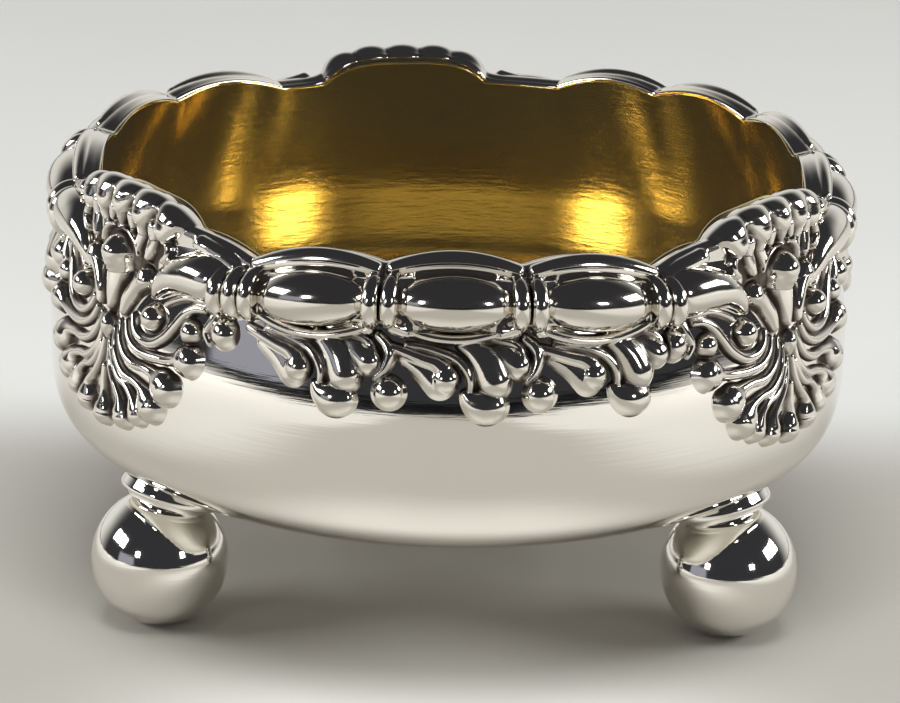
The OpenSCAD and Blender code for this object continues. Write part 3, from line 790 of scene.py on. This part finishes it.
def shell_strokes():
    """The shell's relief: lobes and leaves, each with its mirror image, round the middle."""
    half = [
        [(4.2, 33.45, 1.1, 1.45), (3.1, 32.5, 0.85, 1.15), (2.2, 31.3, 0.75, 1.0),
         (1.9, 30.2, 0.45, 0.8)],
        [(0.0, 37.0, 0.3, 0.8), (1.5, 36.75, 0.3, 0.8), (2.6, 36.0, 0.3, 0.7),
         (2.9, 35.2, 0.26, 0.6)],
        [(5.7, 30.5, 1.15, 1.35)],
        [(11.4, 32.3, 0.45, 0.6), (10.4, 32.2, 0.5, 0.7), (9.4, 31.6, 0.55, 0.75),
         (8.5, 30.5, 0.58, 0.75), (7.6, 29.4, 0.58, 0.75), (6.3, 28.6, 0.55, 0.7),
         (4.8, 28.5, 0.5, 0.65), (3.7, 29.1, 0.42, 0.6), (3.2, 30.1, 0.35, 0.5)],
        [(10.4, 28.0, 1.45, 1.3), (9.1, 27.75, 0.62, 0.85), (7.6, 27.5, 0.48, 0.68),
         (5.8, 27.4, 0.5, 0.7), (4.2, 27.6, 0.45, 0.65), (3.0, 28.3, 0.38, 0.55),
         (2.4, 29.4, 0.3, 0.45)],
        [(8.15, 25.2, 1.55, 1.35), (7.0, 26.0, 0.66, 0.85), (5.6, 26.3, 0.48, 0.68),
         (4.0, 26.3, 0.48, 0.68), (2.6, 26.9, 0.42, 0.58), (1.8, 28.0, 0.34, 0.5),
         (1.5, 29.2, 0.28, 0.4)],
        [(6.5, 23.2, 1.5, 1.3), (5.6, 24.4, 0.62, 0.82), (4.4, 24.9, 0.46, 0.66),
         (3.1, 25.1, 0.46, 0.64), (2.0, 25.8, 0.4, 0.55), (1.2, 27.0, 0.32, 0.45),
         (0.95, 28.4, 0.26, 0.4)],
        [(4.9, 22.1, 1.15, 1.1), (4.3, 23.4, 0.52, 0.75), (3.4, 24.2, 0.42, 0.62),
         (2.3, 24.6, 0.4, 0.58), (1.5, 25.4, 0.34, 0.5), (0.85, 26.7, 0.28, 0.42)],
        [(2.9, 21.4, 1.2, 1.15), (2.6, 22.8, 0.52, 0.75), (2.0, 23.6, 0.42, 0.62),
         (1.3, 24.4, 0.38, 0.55), (0.7, 25.6, 0.32, 0.46), (0.4, 27.2, 0.26, 0.4)],
        [(13.7, 30.9, 1.3, 1.25)],
        [(10.3, 30.3, 1.05, 1.15)],
        [(14.9, 32.9, 0.45, 0.6), (13.0, 33.0, 0.45, 0.65), (11.2, 33.0, 0.42, 0.65),
         (9.3, 32.9, 0.38, 0.6), (7.7, 32.3, 0.32, 0.5), (6.9, 31.8, 0.28, 0.4)],
        [(12.7, 32.6, 0.45, 0.6), (12.3, 31.6, 0.45, 0.7), (11.9, 30.7, 0.45, 0.65),
         (12.3, 29.9, 0.35, 0.5)],
    ]
    strokes = [[(0.0, 34.85, 1.45, 2.0)]]
    for stroke in (
            [(4.65, 38.0, 0.62, 0.7), (4.75, 37.2, 0.72, 0.75), (4.6, 36.3, 0.7, 0.75),
             (4.3, 35.4, 0.5, 0.75)],
            [(1.5, 38.3, 0.55, 0.6), (1.65, 37.5, 0.5, 0.6)],
            [(10.0, 37.55, 0.8, 0.8), (11.2, 37.2, 0.85, 0.8), (12.6, 36.85, 0.8, 0.75),
             (13.8, 36.4, 0.65, 0.6)]):
        strokes += [stroke, mirrored(stroke)]
    strokes += [
        [(0.0, 34.5, 1.35, 1.7), (0.0, 33.0, 1.35, 1.4), (0.0, 31.6, 1.0, 1.15),
         (0.0, 30.1, 0.4, 0.8)],
        [(0.0, 29.6, 0.3, 0.5), (0.0, 28.6, 0.7, 1.05), (0.0, 27.6, 0.3, 0.5)],
        [(0.0, 20.95, 1.2, 1.15), (0.1, 22.3, 0.5, 0.72), (0.0, 23.4, 0.4, 0.6),
         (0.0, 25.0, 0.32, 0.46)],
    ]
    for stroke in half:
        strokes += [stroke, mirrored(stroke)]
    tails = ([(0.0, 38.3, 0.8, 0.75), (0.0, 37.6, 0.65, 0.65), (0.0, 37.2, 0.5, 0.6)],
             [(3.1, 38.0, 0.8, 0.75), (3.1, 37.3, 0.75, 0.7), (2.9, 36.6, 0.65, 0.65),
              (2.75, 35.9, 0.5, 0.6)],
             [(6.3, 37.2, 0.48, 0.85), (6.8, 36.6, 0.46, 0.8), (6.8, 35.95, 0.44, 0.8),
              (6.3, 35.5, 0.42, 0.75)])
    for x, curl_y, crest, tail in zip((0.0, 3.05, 6.1), (39.05, 38.75, 38.05), (40.0, 39.85, 39.3),
                                      tails):
        lobe = [(x * 1.05, crest + 2.3, 1.3, 0.12), (x * 1.1, crest + 1.2, 1.6, 0.3),
                (x * 1.1, crest + 0.3, 1.65, 0.45), (x * 1.05, crest - 0.5, 1.42, 0.62),
                (x, curl_y, 1.12, 0.95), (x, curl_y - 0.15, 1.02, 0.98)]
        strokes += [lobe, tail]
        if x:
            strokes += [mirrored(lobe), mirrored(tail)]
    return strokes


def arm_points(end):
    """The half bead that joins a shell to its border: (azimuth, radius, height, thickness)."""
    side = 1 if end > 0 else -1
    reach = (abs(end) - arm_bend) / (arm_drawn - arm_bend)
    points = ((22.5, 33.1, 34.75, 1.6), (22.0, 33.1, 34.85, 1.9), (20.8, 33.15, 34.95, 2.05),
              (18.8, 33.2, 35.0, 2.05), (16.4, 33.3, 34.95, 1.9), (13.8, 33.5, 34.7, 1.6),
              (11.8, 33.6, 34.15, 1.25), (10.2, 33.7, 33.4, 0.9), (9.0, 33.7, 32.5, 0.5),
              (8.6, 33.7, 32.1, 0.25))
    return [(side * (a if a < arm_bend else arm_bend + (a - arm_bend) * reach), r, z, t)
            for a, r, z, t in points]


def bar_mesh(points, middle, sides=40):
    """A round bar of changing thickness that follows the wall."""
    p = smooth_line([(a, z, r, t) for a, r, z, t in points], 6)
    a = np.radians(p[:, 0] + middle)
    line = np.stack([p[:, 2] * np.sin(a), -p[:, 2] * np.cos(a), p[:, 1]], 1)
    along = np.gradient(line, axis=0)
    along /= np.linalg.norm(along, axis=1, keepdims=True)
    out = np.stack([np.sin(a), -np.cos(a), 0 * a], 1)
    up = np.cross(out, along)
    up /= np.linalg.norm(up, axis=1, keepdims=True)
    out = np.cross(along, up)
    turn = np.linspace(0, 2 * math.pi, sides, endpoint=False)
    round_way = (np.cos(turn)[None, :, None] * out[:, None, :]
                 + np.sin(turn)[None, :, None] * up[:, None, :])
    ring = line[:, None, :] + p[:, 3][:, None, None] * round_way
    far = np.hypot(ring[..., 0], ring[..., 1])
    back_at = back_r + (back_z - ring[..., 2]) * back_lean
    ring[..., :2] *= (np.maximum(far, back_at) / far)[..., None]
    rows = len(line)
    j, i = np.mgrid[0:rows - 1, 0:sides]
    k = (i + 1) % sides
    low, high = j * sides, (j + 1) * sides
    faces = np.stack([low + i, low + k, high + k, high + i], -1).reshape(-1, 4).tolist()
    faces += [list(range(sides)), [rows * sides - 1 - i for i in range(sides)]]
    mesh = bpy.data.meshes.new("bar")
    mesh.from_pydata((ring.reshape(-1, 3) * MM).tolist(), [], faces)
    bm = bmesh.new()
    bm.from_mesh(mesh)
    bmesh.ops.recalc_face_normals(bm, faces=bm.faces)
    bm.to_mesh(mesh)
    bm.free()
    return mesh


def shell_mesh(i):
    """One shell: its fan and fringe as a casting, and the two arms that join it to the borders."""
    ends = shell_ends[i]
    width = int(round((ends[1] - ends[0]) * wall_unit / shell_grid)) + 1
    angles = np.linspace(ends[0], ends[1], width)
    s = angles * wall_unit
    away = np.abs(angles)
    crest = rim_at(angles + shell_az[i]) + np.interp(away, (fan_half, fan_half + 3), (0.7, 0.45))
    crest = np.convolve(np.pad(crest, 8, mode="edge"), np.ones(17) / 17, mode="valid")
    top = crest - shell_edge_h
    heights = grid_rows(shell_low_z, shell_band_z, shell_row, top, 59)
    fan = np.interp(away, (12, 17), (1, 0))[None, :]
    lean_out = np.interp(heights, (33.3, 34.2, 36.0, 38.0, 40.0), (0, 0.45, 0.95, 1.3, 1.5))
    plain = np.interp(heights, (33.3, 34.0), (0, 0.75))
    radii = wall_r(np.minimum(heights, wall_top_z)) + fan * lean_out + (1 - fan) * plain
    inner = wall_r(np.minimum(crest, wall_top_z)) - wall_t + edge_lap
    radii, heights, y = over_edge(radii, heights, top, inner, shell_edge, 0.09)
    relief = carve(s, y + shell_lower[i] * np.interp(y, (35, 37), (0, 1)), shell_strokes())
    relief = np.where(y > shell_plate_z, np.maximum(relief, 0.0), relief)
    casting = casting_mesh("shell", shell_az[i], angles, radii, heights, relief)
    bars = [bar_mesh(arm_points(end), shell_az[i]) for end in arm_starts[i]]
    return joined("shell", casting, *bars)


for i, node in enumerate(("shell_front_right", "shell_back", "shell_front_left")):
    put("fan_" + node, shell_mesh(i), cast_silver, "silver", node)


# The feet: three hollow silver balls, each of two stamped halves soldered edge to edge and
# polished, worn flat where they slide on the table.
ball_r, ball_wall, foot_r, wear_r = 5.95, 0.5, 28.4, 1.2
ball_z = math.sqrt(ball_r ** 2 - wear_r ** 2)
foot_az = {"right": 60.0, "left": -60.0, "back": 180.0}


def lathe(name, profile, matrix, sides=96):
    """A closed form turned round the Z axis from its section, then placed."""
    turns = np.linspace(0, 2 * math.pi, sides, endpoint=False)
    ring = np.array([[(r * math.cos(t), r * math.sin(t), z) for t in turns] for r, z in profile])
    rows = len(profile)
    faces = []
    for j in range(rows):
        low, high = j * sides, (j + 1) % rows * sides
        faces += [(low + i, low + (i + 1) % sides, high + (i + 1) % sides, high + i)
                  for i in range(sides)]
    mesh = bpy.data.meshes.new(name)
    mesh.from_pydata((ring.reshape(-1, 3) * MM).tolist(), [], faces)
    bm = bmesh.new()
    bm.from_mesh(mesh)
    bmesh.ops.remove_doubles(bm, verts=bm.verts, dist=2e-6)
    bmesh.ops.dissolve_degenerate(bm, edges=bm.edges, dist=1e-6)
    bmesh.ops.recalc_face_normals(bm, faces=bm.faces)
    bm.to_mesh(mesh)
    bm.free()
    mesh.transform(matrix)
    mesh.shade_smooth()
    mesh.set_sharp_from_angle(angle=math.radians(40))
    return mesh


for side, az in foot_az.items():
    a = math.radians(az)
    middle = Vector((foot_r * math.sin(a), -foot_r * math.cos(a), ball_z))
    stand = Matrix.Translation(middle * MM)
    for half, sign in (("upper", 1), ("lower", -1)):
        angles = np.linspace(0, math.pi / 2, 40)
        outer = [(ball_r * math.cos(t), sign * ball_r * math.sin(t)) for t in angles]
        if half == "lower":
            outer = [(r, z) for r, z in outer if z > -ball_z] + [(wear_r, -ball_z), (0.0, -ball_z)]
        hollow_r = ball_r - ball_wall
        inner = [(hollow_r * math.cos(t), sign * hollow_r * math.sin(t)) for t in angles[::-2]]
        node = "ball_%s_%s" % (half, side)
        ball_half = lathe(node, outer + inner, stand)
        put(node.replace("ball", "foot_ball"), ball_half, plain_silver, "silver", node)


# The collars: stamped silver discs in two tiers between each ball and the bowl, tilted with the
# slope of its underside and sweated on with solder.
collar_r, step_r, tier, collar_h, collar_tilt, collar_shift = 4.4, 3.6, 0.6, 1.1, 18.0, 0.9
collar_z = ball_r + ball_z - tier
for side, az in foot_az.items():
    a = math.radians(az)
    profile = [(0.0, -tier), (step_r - 0.12, -tier), (step_r, -tier + 0.12),
               (step_r + 0.02, -0.25), (step_r + 0.1, -0.06), (collar_r - 0.16, 0.0),
               (collar_r - 0.04, 0.06), (collar_r, 0.18), (collar_r, 0.42),
               (collar_r - 0.05, 0.6), (collar_r - 0.2, collar_h), (0.0, collar_h)]
    centre_r = foot_r - collar_shift
    middle = Vector((centre_r * math.sin(a), -centre_r * math.cos(a), collar_z))
    stand = (Matrix.Translation(middle * MM) @ Matrix.Rotation(a, 4, "Z")
             @ Matrix.Rotation(math.radians(-collar_tilt), 4, "X"))
    node = "foot_collar_" + side
    collar = lathe(node, profile, stand)
    put(node.replace("foot", "two_tier"), collar, plain_silver, "silver", node)
